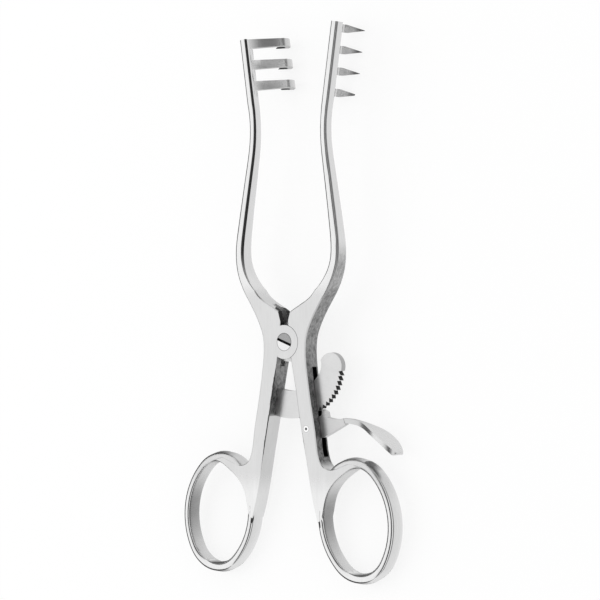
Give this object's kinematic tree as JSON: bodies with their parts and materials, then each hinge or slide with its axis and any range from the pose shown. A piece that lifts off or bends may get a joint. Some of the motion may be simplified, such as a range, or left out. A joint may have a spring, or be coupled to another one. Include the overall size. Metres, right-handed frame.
{
  "type": "self retaining retractor",
  "caption": "Ring-handled self-retaining retractor: two sharp-pronged arms on a box lock, held open by a ratchet rack and a sprung release lever.",
  "frame": {"origin": "lock axis at the flat front face of the lock", "axes": "+Z out of the front face along the lock axis, +Y up the instrument towards the prongs, +X towards the half with the release lever"},
  "size_m": [0.08, 0.1672, 0.0179],
  "materials": {
    "polished_steel": "polished stainless steel on the round arms, prongs and rings",
    "satin_steel": "fine satin stainless steel on the flat faces"
  },
  "bodies": {
    "left": {"left_half": "polished_steel", "lock_screw": "satin_steel", "ratchet_rack": "satin_steel", "rack_rivets": "satin_steel"},
    "right": {"right_half": "polished_steel", "lever_pin": "satin_steel", "leaf_spring": "satin_steel", "spring_rivet": "satin_steel"},
    "lever": {"release_lever": "satin_steel"}
  },
  "joints": [
    {"name": "lock_hinge", "type": "hinge", "parent": "left", "child": "right", "pos_m": [0, 0, 0], "axis": [0, 0, 1], "range_deg": [-19.5, 18.5]},
    {"name": "release_lever", "type": "hinge", "parent": "right", "child": "lever", "pos_m": [0.00825, -0.0258, 0], "axis": [0, 0, 1], "range_deg": [-12, 8], "stiffness_Nm_per_rad": 0.02, "springref_deg": 8, "deforming": ["leaf_spring"]}
  ]
}
